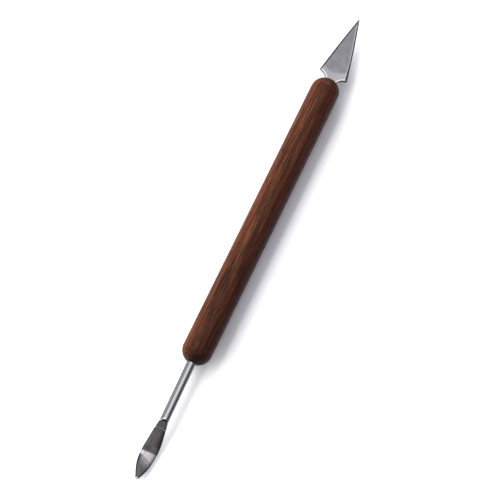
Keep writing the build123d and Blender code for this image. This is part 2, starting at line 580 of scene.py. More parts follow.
@dataclass(frozen=True)
class SpearSteel(Steel):
    """Flat ground plate whose neck swells up to a curved grind line, with painted reflections and shade: a
    lighter neck, near-black edges, walls and shoulder arcs, and bright highlights along the shoulders and
    the right bevel.
    """

    end: ToolEnd = ToolEnd.SPEAR
    slot: str = "spear_steel"
    lines: Grain = Grain((0.07 * MM, 2.2 * MM, 2.2 * MM), 2.0, 0.6)
    clouds: Grain = Grain((2.6 * MM, 2.6 * MM, 2.6 * MM), 3.0, 0.5)
    rough: float = 0.36
    face: Colour = (0.29, 0.286, 0.288)
    face_dark: Colour = (0.24, 0.237, 0.24)
    # Painted reflection: the neck, where the steel swells, is lighter up to the grind line
    neck: Colour = (0.475, 0.45, 0.445)
    # Painted shade: near black on the outer rims of the bevels, the lower side walls and along the shoulder
    # arcs
    edge: Colour = (0.04, 0.04, 0.045)
    # Painted highlight along the shoulder arcs and inside the right bevel
    bright: Colour = (0.96, 0.96, 0.97)
    cloud_step: Step = (0.35, 0.7)
    neck_step: Step = (0.7 * MM, -0.5 * MM)
    neck_weight: float = 0.85
    neck_smoother: float = 0.06
    broad_width: float = 0.25 * MM
    broad_side: Step = (0.0, -0.5 * MM)
    broad_run: Step = (7.0 * MM, 1.0 * MM)
    edge_step: Step = (0.12 * MM, 0.02 * MM)
    edge_start: Step = (0.0, 0.15 * MM)
    edge_at_tip: Step = (-2.2 * MM, -0.7 * MM)
    tip_fade: float = 0.7
    wall_facing: Step = (0.6, 0.3)
    wall_height: Step = (0.3 * MM, 0.15 * MM)
    arc_start: Step = (-1.0 * MM, 0.0)
    arc_highlight: Step = (0.55 * MM, 0.35 * MM)
    arc_highlight_weight: float = 0.9
    arc_shade: Step = (0.16 * MM, 0.06 * MM)
    arc_left: Step = (0.0, 1.0 * MM)
    arc_left_fade: float = 0.45
    strip_step: Step = (0.6 * MM, 0.3 * MM)
    strip_side: Step = (0.0, -0.1 * MM)
    strip_weight: float = 0.24

    def paint(self, graph: Graph) -> bpy.types.Node:
        """Adds the spear's nodes.

        Args:
            graph: the graph to fill.

        Returns:
            The spear's shader.
        """
        place = self.measure(graph)
        x, y, z = place
        shape = SpearBlade(self.plan)
        lines = graph.noise(place, self.lines)
        clouds = graph.noise(place, self.clouds)
        colour = graph.mix(clouds.window(self.cloud_step), self.face_dark, self.face)
        aside = y - shape.grind_aside
        past_grind = x - (shape.grind_start + aside * aside * shape.grind_bow)
        # Painted reflection: lighter up to the grind line where the steel swells, which is also smoother
        swell_zone = past_grind.window(self.neck_step)
        colour = graph.mix(swell_zone * self.neck_weight, colour, self.neck)
        past_shoulder = x - shape.stand_off
        bow = (past_shoulder * (math.pi / shape.edge_length)).sine() * shape.edge_bow
        line = shape.half_width + bow - past_shoulder * shape.slope
        broad = y.window(self.broad_side) * past_shoulder.window(self.broad_run) * self.broad_width
        off_bevel = (line - y.size()) * shape.squareness - broad - shape.bevel
        # Painted shade on the outer rims of the bevels, fading towards the tip
        edge = off_bevel.window(self.edge_step) * past_shoulder.window(self.edge_start)
        edge = edge * (1.0 - (x - self.plan.spear_reach).window(self.edge_at_tip) * self.tip_fade)
        # Painted shade on the lower part of the side walls
        wall_shade = self.facing(graph, AXES[2]).window(self.wall_facing) * z.window(self.wall_height)
        behind = past_shoulder + shape.shoulder
        beside = y.size() - shape.half_width
        off_arc = (behind * behind + beside * beside) ** 0.5 - shape.shoulder
        past_neck = x.window(self.arc_start)
        # Painted highlight: a band along each shoulder arc
        arc_highlight = off_arc.window(self.arc_highlight) * past_neck
        # Painted shade: a thin near-black line at each shoulder arc
        arc_shade = off_arc.window(self.arc_shade) * past_neck * (
            1.0 - y.window(self.arc_left) * self.arc_left_fade)
        # Painted highlight inside the bevel on the right
        strip_highlight = off_bevel.window(self.strip_step) * y.window(self.strip_side)
        colour = graph.mix(arc_highlight * self.arc_highlight_weight, colour, self.bright)
        colour = graph.mix(strip_highlight * self.strip_weight, colour, self.bright)
        colour = graph.mix(edge.most(wall_shade).most(arc_shade), colour, self.edge)
        rough = self.rough + (lines - NOISE_MEAN) * self.line_rough - swell_zone * self.neck_smoother
        return self.shader(graph, colour, rough, lines)


@dataclass(frozen=True)
class LeafSteel(Steel):
    """Drawn round shank, and a leaf with a red tint patch, whose dark upper face and bright belly band are
    painted reflections.

    Painted shade draws near-black lines at the cut, below the band, along the rims and on the shank's
    flanks, and painted glints and a highlight line sit on the shank, the band and the tip. Left and right
    are those of the leaf seen from above with its tip down, where Y points to the right.
    """

    end: ToolEnd = ToolEnd.LEAF
    slot: str = "leaf_steel"
    lines: Grain = Grain((2.2 * MM, 0.07 * MM, 0.07 * MM), 2.0, 0.6)
    streaks: Grain = Grain((3.5 * MM, 0.3 * MM, 3.5 * MM), 3.0, 0.55)
    blotches: Grain = Grain((2.6 * MM, 1.1 * MM, 2.6 * MM), 2.0, 0.5)
    rough: float = 0.25
    drawn: Colour = (0.42, 0.42, 0.43)
    burnt_red: Colour = (0.40, 0.29, 0.275)
    # Painted reflection: the upper face is dark, lighter at its left and on the slanting cut, darker at its
    # right and towards the belly
    reflection_grey: Colour = (0.235, 0.235, 0.225)
    reflection_light: Colour = (0.40, 0.40, 0.38)
    reflection_dark: Colour = (0.085, 0.085, 0.092)
    # Painted reflection: the bright band at the belly, duller in streaks, darker low and to the right
    belly: Colour = (0.53, 0.505, 0.51)
    belly_dull: Colour = (0.33, 0.31, 0.31)
    belly_low: Colour = (0.27, 0.25, 0.235)
    # Painted reflection: the darker zone beyond the band, lighter in streaks near it
    tip: Colour = (0.145, 0.138, 0.135)
    tip_light: Colour = (0.30, 0.275, 0.28)
    seam: Colour = (0.55, 0.55, 0.55)
    # Painted shade: near black for lines at the cut, along the rod's edge there, below the band, on the
    # rims and on the shank's flanks
    outline: Colour = (0.035, 0.035, 0.037)
    # Painted glints beside the arch, at the band's left end and at the tip
    glint: Colour = (0.95, 0.95, 0.95)
    # Painted highlight: a bright line along the shank
    shine: Colour = (0.62, 0.62, 0.62)
    patch_aside: float = 0.3 * MM
    patch_side: Step = (1.6 * MM, 0.4 * MM)
    patch_blotches: Step = (0.2, 0.6)
    patch_start: Step = (3.0 * MM, 4.5 * MM)
    patch_base: float = 0.15
    right_dark: Step = (0.1 * MM, 2.3 * MM)
    right_dark_weight: float = 0.75
    left_light: Step = (-0.9 * MM, -2.0 * MM)
    left_light_weight: float = 0.6
    belly_dark: Step = (-4.0 * MM, -2.3 * MM)
    belly_dark_weight: float = 0.95
    belly_dark_fade: float = 0.5
    seam_light: Step = (3.0 * MM, 2.6 * MM)
    seam_light_weight: float = 0.45
    flank_right: Step = (0.28, 0.46)
    flank_right_weight: float = 0.64
    flank_left: Step = (-0.62, -0.85)
    flank_left_weight: float = 0.85
    shine_left: float = 0.15
    shine_side: Step = (0.2, 0.06)
    shine_weight: float = 0.5
    arch_end: float = 0.12
    facet_run: Step = (-0.8 * MM, -0.45 * MM)
    facet_rise: Step = (-1.3 * MM, -1.05 * MM)
    facet_fall: Step = (0.1 * MM, -0.15 * MM)
    facet_weight: float = 0.9
    cut_step: Step = (-0.06 * MM, -0.02 * MM)
    arch_width: Step = (0.3 * MM, 0.45 * MM)
    brink_depth: Step = (-0.3 * MM, -0.2 * MM)
    brink_cut: Step = (-0.12 * MM, -0.06 * MM)
    brink_end: Step = (1.6 * MM, 1.2 * MM)
    seam_side: Step = (0.2 * MM, 0.05 * MM)
    seam_weight: float = 0.8
    band_start: Step = (0.0, 0.3 * MM)
    band_lower: float = 0.1 * MM
    band_end: Step = (0.3 * MM, 0.75 * MM)
    belly_streaks: Step = (0.4, 0.6)
    low_step: Step = (-1.4 * MM, 0.3 * MM)
    low_weight: float = 0.4
    low_right: Step = (-0.4 * MM, 1.2 * MM)
    low_right_weight: float = 0.55
    glint_left: Step = (-1.2 * MM, -1.9 * MM)
    near_belly: Step = (2.6 * MM, 0.8 * MM)
    tip_streaks: Step = (0.35, 0.6)
    line_rise: Step = (0.35 * MM, 0.6 * MM)
    line_fall: Step = (1.0 * MM, 0.7 * MM)
    line_weight: float = 0.35
    tip_rise: Step = (-0.75 * MM, -0.55 * MM)
    tip_fall: Step = (-0.15 * MM, -0.3 * MM)
    tip_side: Step = (0.35 * MM, 0.2 * MM)
    rim_facing: Step = (0.3, 0.48)
    rim_start: Step = (0.5 * MM, 1.5 * MM)
    rim_right: Step = (0.0, 0.3 * MM)
    rim_tip: Step = (-0.2 * MM, 0.4 * MM)
    rim_band_fade: float = 0.9
    rim_weight: float = 0.8

    def tint_and_reflection(self, graph: Graph, place: Sequence[Signal], streaks: Signal) -> Signal:
        """Colour of the leaf between the shank and its belly: a red tint patch on a painted dark
        reflection, lighter at its left and on the slanting cut, darker at its right and towards the belly.

        Args:
            graph: the graph to fill.
            place: the position in the blade's frame.
            streaks: the noise of the streaks along the leaf.

        Returns:
            The colour.
        """
        x, y, _ = place
        shape = LeafBlade(self.plan)
        past_shank = x - shape.shank_length
        blotches = graph.noise(place, self.blotches)
        patch = (y - self.patch_aside).size().window(self.patch_side) * blotches.window(self.patch_blotches)
        patch = patch * past_shank.window(self.patch_start)
        colour = graph.mix(patch * (streaks + self.patch_base), self.reflection_grey, self.burnt_red)
        # Painted reflection: lighter at the left and on the slanting cut
        at_left = y.window(self.left_light)
        at_seam = past_shank.window(self.seam_light) * self.seam_light_weight
        colour = graph.mix((at_left * self.left_light_weight).most(at_seam), colour, self.reflection_light)
        # Painted reflection: darker at the right and towards the belly
        at_right = y.window(self.right_dark) * self.right_dark_weight
        at_belly = (x - shape.belly_x).window(self.belly_dark) * (
            self.belly_dark_weight - at_left * self.belly_dark_fade)
        return graph.mix(at_right.most(at_belly), colour, self.reflection_dark)

    def shank(self, graph: Graph, place: Sequence[Signal], past_edge: Signal) -> Signal:
        """Colour of the drawn shank, with painted dark flanks, a painted highlight line and a painted glint
        on the facet beside the arch at its end.

        Args:
            graph: the graph to fill.
            place: the position in the blade's frame.
            past_edge: how far beyond the arch the position lies.

        Returns:
            The colour.
        """
        y = place[1]
        around = y / self.plan.shank_radius
        # Painted shade: dark flanks along both sides of the shank
        flank = (around.window(self.flank_right) * self.flank_right_weight).most(
            around.window(self.flank_left) * self.flank_left_weight)
        colour = graph.mix(flank, self.drawn, self.outline)
        # Painted highlight: a bright line left of the shank's middle
        shine = (around + self.shine_left).size().window(self.shine_side)
        colour = graph.mix(shine * self.shine_weight, colour, self.shine)
        # Painted glint on the facet beside the arch
        facet = past_edge.window(self.facet_run) * y.band(self.facet_rise, self.facet_fall)
        return graph.mix(facet * self.facet_weight, colour, self.glint)

    def belly_reflection(self, graph: Graph, y: Signal, across_band: Signal, streaks: Signal) -> Signal:
        """Colour of the bright band at the belly, a painted reflection with a painted glint at its left
        end.

        Args:
            graph: the graph to fill.
            y: the distance from the blade's middle line.
            across_band: how far beyond the band's lower edge the position lies.
            streaks: the noise of the streaks along the leaf.

        Returns:
            The colour.
        """
        colour = graph.mix(streaks.window(self.belly_streaks), self.belly_dull, self.belly)
        colour = graph.mix(across_band.window(self.low_step) * self.low_weight, colour, self.belly_low)
        colour = graph.mix(y.window(self.low_right) * self.low_right_weight, colour, self.belly_low)
        # Painted glint at the band's left end
        return graph.mix(y.window(self.glint_left), colour, self.glint)

    def paint(self, graph: Graph) -> bpy.types.Node:
        """Adds the leaf's nodes.

        Args:
            graph: the graph to fill.

        Returns:
            The leaf's shader.
        """
        place = self.measure(graph)
        x, y, z = place
        shape = LeafBlade(self.plan)
        rod = self.plan.shank_radius
        lines = graph.noise(place, self.lines)
        streaks = graph.noise(place, self.streaks)
        past_shank = x - shape.shank_length
        above_cut = z - (shape.step_length - past_shank) * (rod / shape.step_length)
        around = y / rod
        past_edge = past_shank - (
            1.0 - (1.0 - around * around).most(self.arch_end) ** 0.5) * shape.step_length
        # Painted shade: a near-black line where the cut starts at the arch
        on_cut = above_cut.window(self.cut_step)
        colour = graph.mix(on_cut, self.shank(graph, place, past_edge), self.outline)
        # Painted reflection of the upper face, with its red tint patch
        tint_and_reflection = self.tint_and_reflection(graph, place, streaks)
        colour = graph.mix(on_cut * past_edge.window(self.arch_width), colour, tint_and_reflection)
        # Painted shade: a near-black line along the rod's edge beside the cut
        brink = ((y * y + z * z) ** 0.5 - rod).window(self.brink_depth)
        brink = brink * above_cut.window(self.brink_cut) * past_shank.window(self.brink_end)
        colour = graph.mix(brink, colour, self.outline)
        seam = (past_shank - shape.step_length).size().window(self.seam_side)
        colour = graph.mix(seam * self.seam_weight, colour, self.seam)
        at_belly = x - shape.belly_x
        in_band = (at_belly + y * shape.upper_slant + shape.band_reach).window(self.band_start)
        across_band = at_belly - self.band_lower - y * shape.lower_slant
        past_band = across_band.window(self.band_end)
        # Painted reflection: the bright band at the belly
        colour = graph.mix(in_band, colour, self.belly_reflection(graph, y, across_band, streaks))
        # Painted reflection: the darker zone beyond the band
        near_belly = across_band.window(self.near_belly) * streaks.window(self.tip_streaks)
        colour = graph.mix(past_band, colour, graph.mix(near_belly, self.tip, self.tip_light))
        # Painted shade: a dark line below the band
        line = across_band.band(self.line_rise, self.line_fall)
        colour = graph.mix(line * self.line_weight, colour, self.outline)
        # Painted glint at the tip
        at_tip = (x - self.plan.leaf_reach).band(self.tip_rise, self.tip_fall)
        colour = graph.mix(at_tip * y.size().window(self.tip_side), colour, self.glint)
        # Painted shade: a near-black rim on the right and beyond the belly
        rim = self.facing(graph, AXES[1]).window(self.rim_facing) * past_shank.window(self.rim_start)
        rim = rim * y.window(self.rim_right).most(at_belly.window(self.rim_tip))
        rim = rim * (1.0 - in_band * (1.0 - past_band) * self.rim_band_fade)
        colour = graph.mix(rim * self.rim_weight, colour, self.outline)
        rough = self.rough + (lines - NOISE_MEAN) * self.line_rough
        return self.shader(graph, colour, rough, lines)


@dataclass(frozen=True)
class SetGlue(Finish):
    """Dark glue that has set around the steel, dull and a little lumpy."""

    slot: str = "bedding_glue"
    dark: Colour = (0.018, 0.010, 0.008)
    light: Colour = (0.055, 0.028, 0.018)
    lumps: Grain = Grain((0.35 * MM, 0.35 * MM, 0.35 * MM), 3.0, 0.5)
    rough: float = 0.45
    lump_rough: float = 0.2
    relief: float = 0.03 * MM

    def paint(self, graph: Graph) -> bpy.types.Node:
        """Adds the glue's nodes.

        Args:
            graph: the graph to fill.

        Returns:
            The glue's shader.
        """
        lumps = graph.noise(graph.measure(graph.place(), ORIGIN), self.lumps)
        colour = graph.mix(lumps, self.dark, self.light)
        bump = graph.node("ShaderNodeBump", None, {"Distance": self.relief, "Height": lumps})
        return graph.node("ShaderNodeBsdfPrincipled", None, {
            "Base Color": colour, "Roughness": self.rough + lumps * self.lump_rough, "Normal": bump})


@dataclass(frozen=True)
class PaperFloor(Finish):
    """White studio paper, which shows as white but keeps the tool's shadow, and which glows near both ends
    of the tool, a painted light that fades the blades' shadows there.
    """

    slot: str = "paper_floor"
    paper: Colour = (0.90, 0.90, 0.90)
    shown_white: Colour = (1.36, 1.36, 1.37)
    dark: Colour = (0.0, 0.0, 0.0)
    # Painted light that fades the shadows near both ends of the tool
    end_glow: Colour = (0.28, 0.28, 0.28)
    far_glow: Colour = (1.0, 1.0, 1.0)
    middle_x: float = 14.0 * MM
    ends: Step = (46.0 * MM, 70.0 * MM)
    far: Step = (0.3, 1.0)
    rough: float = 0.9

    def paint(self, graph: Graph) -> bpy.types.Node:
        """Adds the floor's nodes.

        Args:
            graph: the graph to fill.

        Returns:
            The floor's shader.
        """
        rays = graph.node("ShaderNodeLightPath")
        seen = Signal(graph, rays.outputs["Is Camera Ray"])
        for name in ("Is Glossy Ray", "Is Transmission Ray"):
            seen = seen.most(rays.outputs[name])
        shown = graph.mix(seen, self.paper, self.shown_white)
        x, y = graph.measure(graph.place(), Vector((self.middle_x, 0, 0)), AXES[:2])
        # Painted light: the floor glows towards both ends of the tool, which fades the blades' shadows
        glow = graph.mix(x.size().window(self.ends) * seen, self.dark, self.end_glow)
        far = ((x * x + y * y) ** 0.5).window(self.far) * seen
        return graph.node("ShaderNodeBsdfPrincipled", None, {
            "Base Color": shown, "Roughness": self.rough, "Specular IOR Level": 0.0,
            "Emission Color": graph.mix(far, glow, self.far_glow),
            "Emission Strength": 1.0})


# Meshes


class RingSkin:
    """A closed skin stretched over a row of rings that have as many points each."""

    def __init__(self, name: str, place: Matrix) -> None:
        """Starts an empty skin.

        Args:
            name: the piece's name.
            place: the matrix from the rings' frame to the shared frame.
        """
        self.name = name
        self.place = place
        self.rings: list[np.ndarray] = []

    def add(self, *rings: np.ndarray) -> None:
        """Adds the next rings, each an array of points."""
        self.rings.extend(rings)

    def build(self, crease_degrees: float) -> bpy.types.Object:
        """Makes the mesh and its object.

        Args:
            crease_degrees: edges that turn by more than this stay sharp.

        Returns:
            The new object, at the origin of the shared frame.
        """
        mesh_data = bmesh.new()
        loops = [[mesh_data.verts.new(self.place @ Vector(p)) for p in ring] for ring in self.rings]
        count = len(loops[0])
        for one, two in zip(loops, loops[1:]):
            for i in range(count):
                j = (i + 1) % count
                mesh_data.faces.new((one[i], one[j], two[j], two[i]))
        for ring, loop in ((self.rings[0], loops[0]), (self.rings[-1], loops[-1])):
            hub = mesh_data.verts.new(self.place @ Vector(ring.mean(axis=0)))
            for i in range(count):
                mesh_data.faces.new((loop[i], loop[(i + 1) % count], hub))
        bmesh.ops.recalc_face_normals(mesh_data, faces=mesh_data.faces)
        mesh = bpy.data.meshes.new(self.name)
        mesh_data.to_mesh(mesh)
        mesh_data.free()
        mesh.shade_smooth()
        mesh.set_sharp_from_angle(angle=math.radians(crease_degrees))
        made = bpy.data.objects.new(self.name, mesh)
        bpy.context.scene.collection.objects.link(made)
        return made


def dress(piece: bpy.types.Object, finish: Finish, node: Optional[str] = None) -> None:
    """Gives a piece its finish and ties it to the frame.

    Args:
        piece: the piece, a new one or a node of the frame.
        finish: its finish.
        node: the frame's node that a new piece stands for.
    """
    piece.data.materials.clear()
    piece.data.materials.append(finish.material())
    if node is not None:
        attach(piece, "root")
        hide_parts(node)
    LOG.info("%s: %d faces in %s", piece.name, len(piece.data.polygons), finish.slot)


@dataclass(frozen=True)
class Handle:
    """The turned handle, with the bores that hold the two tangs."""

    plan: ToolPlan
    nose_flat: float = 0.25 * MM
    slot_gap: float = 0.001 * MM
    turning_mark: float = 0.012 * MM
    turning_pitch: float = 9.0 * MM
    # Height of each wave, its angle over one pitch and its turns around the handle
    turning_waves: tuple[tuple[float, float, int], ...] = (
        (1.0, 2 * math.pi, 0),
        (0.6, 4.7 * math.pi, 1),
        (0.5, 3.0, 2),
    )
    crease: float = 40.0
    corners: int = 168
    dome_rings: int = 22
    barrel_rings: int = 120

    @property
    def angles(self) -> np.ndarray:
        """Angles of the corners around a ring."""
        return np.linspace(0, 2 * math.pi, self.corners, endpoint=False)

    def dome(self, radius: np.ndarray) -> np.ndarray:
        """How far out the rounded end stands at a distance from the axis.

        Args:
            radius: the distances.

        Returns:
            The distances from the middle of the handle.
        """
        full = self.plan.handle_radius - self.nose_flat
        shoulder = self.plan.handle_length / 2 - full
        inside = np.clip(radius - self.nose_flat, 0, full)
        return shoulder + np.sqrt(full ** 2 - inside ** 2)

    def mouth(self, which: ToolEnd) -> np.ndarray:
        """Outline of the hole at one end.

        Args:
            which: the end of the handle.

        Returns:
            The outline's distance from the bore's axis at each corner.
        """
        round_mouth = np.full(self.corners, self.plan.bore_radius)
        if which is ToolEnd.LEAF:
            return round_mouth
        spear = SpearBlade(self.plan)
        across = spear.slot_half_width / np.maximum(np.abs(np.cos(self.angles)), SLIVER)
        tall = spear.slot_half_height / np.maximum(np.abs(np.sin(self.angles)), SLIVER)
        return np.maximum(round_mouth, np.minimum(across, tall))

    def bore_ring(self, which: ToolEnd, depth: float, radius: np.ndarray) -> np.ndarray:
        """Ring around a bore's axis, in the frame of the handle's middle.

        Args:
            which: the end of the handle.
            depth: how deep below the end of the handle the ring lies.
            radius: its distance from the bore's axis at each corner.

        Returns:
            The ring's points.
        """
        angles = math.pi - self.angles if which is ToolEnd.LEAF else self.angles
        place = np.array(self.plan.middle().inverted() @ self.plan.end(which))
        local = np.stack([
            np.full(self.corners, -depth),
            radius * np.cos(angles),
            radius * np.sin(angles),
            np.ones(self.corners)])
        return (place @ local)[:3].T

    def end_rings(self, which: ToolEnd) -> list[np.ndarray]:
        """Rings from the bottom of a bore, out through its mouth, to the handle's shoulder.

        Args:
            which: the end of the handle.

        Returns:
            The rings, the deepest one first.
        """
        plan = self.plan
        bore = np.full(self.corners, plan.bore_radius)
        mouth = self.mouth(which)
        rings = [self.bore_ring(which, plan.tang_depth + plan.glue_gap, bore)]
        if which is ToolEnd.SPEAR:
            slot_depth = SpearBlade(plan).slot_depth
            rings.append(self.bore_ring(which, slot_depth, bore))
            rings.append(self.bore_ring(which, slot_depth, mouth + self.slot_gap))
        rim = self.bore_ring(which, self.nose_flat, mouth)
        sign = 1 if which is ToolEnd.SPEAR else -1
        full = plan.handle_radius
        least = float(mouth.min())
        start = math.asin((least - self.nose_flat) / (full - self.nose_flat))
        for turn in np.linspace(start, math.pi / 2, self.dome_rings):
            share = (self.nose_flat + (full - self.nose_flat) * math.sin(turn) - least) / (full - least)
            y = (1 - share) * rim[:, 1] + share * full * np.cos(self.angles)
            z = (1 - share) * rim[:, 2] + share * full * np.sin(self.angles)
            rings.append(np.stack([sign * self.dome(np.hypot(y, z)), y, z], axis=1))
        return rings

    def marks(self, ring: np.ndarray) -> np.ndarray:
        """Presses the shallow unevenness of hand turning into a ring of the barrel.

        Args:
            ring: the ring's points.

        Returns:
            The points with the marks.
        """
        x = ring[:, 0] / self.turning_pitch
        turn = np.arctan2(ring[:, 2], ring[:, 1])
        wave = sum(height * np.sin(along * x + turns * turn) for height, along, turns in self.turning_waves)
        full = sum(height for height, _, _ in self.turning_waves)
        depth = self.turning_mark * (wave / full + 1) / 2
        marked = ring.copy()
        marked[:, 1:] *= (1 - depth / self.plan.handle_radius)[:, None]
        return marked

    def build(self) -> None:
        """Makes the handle in place of its node."""
        skin = RingSkin("handle_wood", self.plan.middle())
        leaf_side = self.end_rings(ToolEnd.LEAF)
        spear_side = self.end_rings(ToolEnd.SPEAR)
        first, last = leaf_side[-1], spear_side[-1]
        skin.add(*leaf_side)
        for share in np.linspace(0, 1, self.barrel_rings)[1:-1]:
            skin.add(self.marks((1 - share) * first + share * last))
        skin.add(*reversed(spear_side))
        dress(skin.build(self.crease), TurnedWood(self.plan), "handle")


@dataclass(frozen=True)
class SpearBlade:
    """The spear blade with its neck and tang, in the frame of the spear end."""

    plan: ToolPlan
    stand_off: float = 1.95 * MM
    half_width: float = 5.2 * MM
    half_thickness: float = 0.5 * MM
    tip_radius: float = 0.25 * MM
    bevel: float = 0.45 * MM
    land: float = 0.06 * MM
    neck_half_width: float = 1.65 * MM
    neck_half_thickness: float = 0.8 * MM
    neck_start: float = -2.6 * MM
    slot_half_width: float = 2.231 * MM
    swell_end: float = -0.6 * MM
    grind_start: float = 2.9 * MM
    grind_bow: float = 0.08 / MM
    grind_aside: float = 0.9 * MM
    edge_break: float = 0.05 * MM
    edge_bow: float = 0.16 * MM
    crease: float = 20.0
    tang_rings: int = 14
    neck_rings: int = 5
    arc_rings: int = 26
    blade_rings: int = 120
    tip_rings: int = 12
    before_neck: float = 0.01 * MM
    before_arc: float = 0.02 * MM
    after_arc: float = 0.04 * MM
    before_tip: float = 0.1 * MM
    tip_first_turn: float = -0.3
    tip_last_turn: float = math.pi / 2 - 0.12
    bevel_points: int = 5
    face_points: int = 27
    least_face: float = 0.15

    @property
    def edge_length(self) -> float:
        """Length of the long edges, measured along X."""
        return self.plan.spear_reach - self.stand_off

    @property
    def shoulder(self) -> float:
        """Radius of the concave quarter circle at each shoulder."""
        return self.half_width - self.neck_half_width

    @property
    def taper_length(self) -> float:
        """Length from the shoulders to the point where the long edges would meet."""
        centre = self.plan.spear_reach - self.stand_off - self.tip_radius
        slope = (math.atan2(self.half_width, centre)
                 - math.asin(self.tip_radius / math.hypot(self.half_width, centre)))
        return self.half_width / math.tan(slope)

    @property
    def slot_half_height(self) -> float:
        """Half height of the slot in the wood."""
        return self.neck_half_thickness + self.plan.glue_gap

    @property
    def slot_depth(self) -> float:
        """Depth of the slot in the wood."""
        return self.plan.glue_gap - self.neck_start

    @property
    def slope(self) -> float:
        """How much the half width falls for each unit along X."""
        return self.half_width / self.taper_length

    @property
    def squareness(self) -> float:
        """Distance square to a long edge for each unit of distance across the blade."""
        return math.cos(math.atan(self.slope))

    def stations(self) -> np.ndarray:
        """Places of the rings along the blade, closer together where the outline turns."""
        start = self.stand_off - self.shoulder
        arc = start + self.shoulder * np.sin(np.linspace(0, math.pi / 2, self.arc_rings))
        tip_turns = np.linspace(self.tip_first_turn, self.tip_last_turn, self.tip_rings)
        tip = self.plan.spear_reach - self.tip_radius + self.tip_radius * np.sin(tip_turns)
        blade = np.linspace(self.stand_off + self.after_arc, tip[0] - self.before_tip, self.blade_rings)
        tang = np.linspace(-self.plan.tang_depth, self.neck_start - self.before_neck, self.tang_rings)
        neck = np.linspace(self.neck_start, start - self.before_arc, self.neck_rings)
        return np.concatenate([tang, neck, arc, blade, tip])

    def reach(self, x: float) -> float:
        """Half width of the outline.

        Args:
            x: the station.

        Returns:
            The half width there.
        """
        start = self.stand_off - self.shoulder
        if x < self.neck_start:
            return self.plan.shank_radius
        if x < start:
            return self.neck_half_width
        if x <= self.stand_off:
            return self.half_width - math.sqrt(max(self.shoulder ** 2 - (x - start) ** 2, 0))
        centre = self.plan.spear_reach - self.tip_radius
        straight = self.half_width * (1 - (x - self.stand_off) / self.taper_length)
        if x <= centre:
            return straight
        return min(straight, math.sqrt(max(self.tip_radius ** 2 - (x - centre) ** 2, 0)))

    def height(self, x: float, y: np.ndarray) -> np.ndarray:
        """Half thickness of the steel at a station.

        Args:
            x: the station.
            y: the distances from the blade's middle line.

        Returns:
            The height of the upper face above the middle plane.
        """
        if x < self.neck_start:
            rod = self.plan.shank_radius
            return np.sqrt(np.maximum(rod ** 2 - y ** 2, self.edge_break ** 2))
        grind = self.grind_start + self.grind_bow * (y - self.grind_aside) ** 2
        share = np.clip((grind - x) / (grind - self.swell_end), 0, 1)
        top = self.half_thickness + (self.neck_half_thickness - self.half_thickness) * share
        inward = (self.half_width - (x - self.stand_off) * self.slope - np.abs(y)) * self.squareness
        rise = (self.half_thickness - self.land) / self.bevel
        return np.minimum(top, np.maximum(self.land + rise * inward, self.edge_break / 2))

    def ring(self, x: float) -> np.ndarray:
        """Ring of points around the blade.

        Args:
            x: the station.

        Returns:
            The ring's points.
        """
        reach = self.reach(x)
        line = self.half_width - (x - self.stand_off) * self.slope
        flat = min(line - self.bevel / self.squareness, reach - self.edge_break)
        flat = max(flat, reach * self.least_face)
        outer = np.linspace(reach, flat, self.bevel_points)
        inner = np.linspace(flat, -flat, self.face_points)[1:-1]
        y = np.concatenate([outer, inner, -outer[::-1]])
        z = self.height(x, y)
        share = min(max((x - self.stand_off) / self.edge_length, 0.0), 1.0)
        y = y * (1 + self.edge_bow * math.sin(math.pi * share) / reach)
        upper = np.stack([np.full_like(y, x), y, z], axis=1)
        lower = np.stack([np.full_like(y, x), y[::-1], -z[::-1]], axis=1)
        return np.concatenate([upper, lower])

    def build(self) -> None:
        """Makes the spear blade in place of its node."""
        skin = RingSkin("spear_steel_blade", self.plan.end(ToolEnd.SPEAR))
        for x in self.stations():
            skin.add(self.ring(float(x)))
        dress(skin.build(self.crease), SpearSteel(self.plan), "spear_blade")


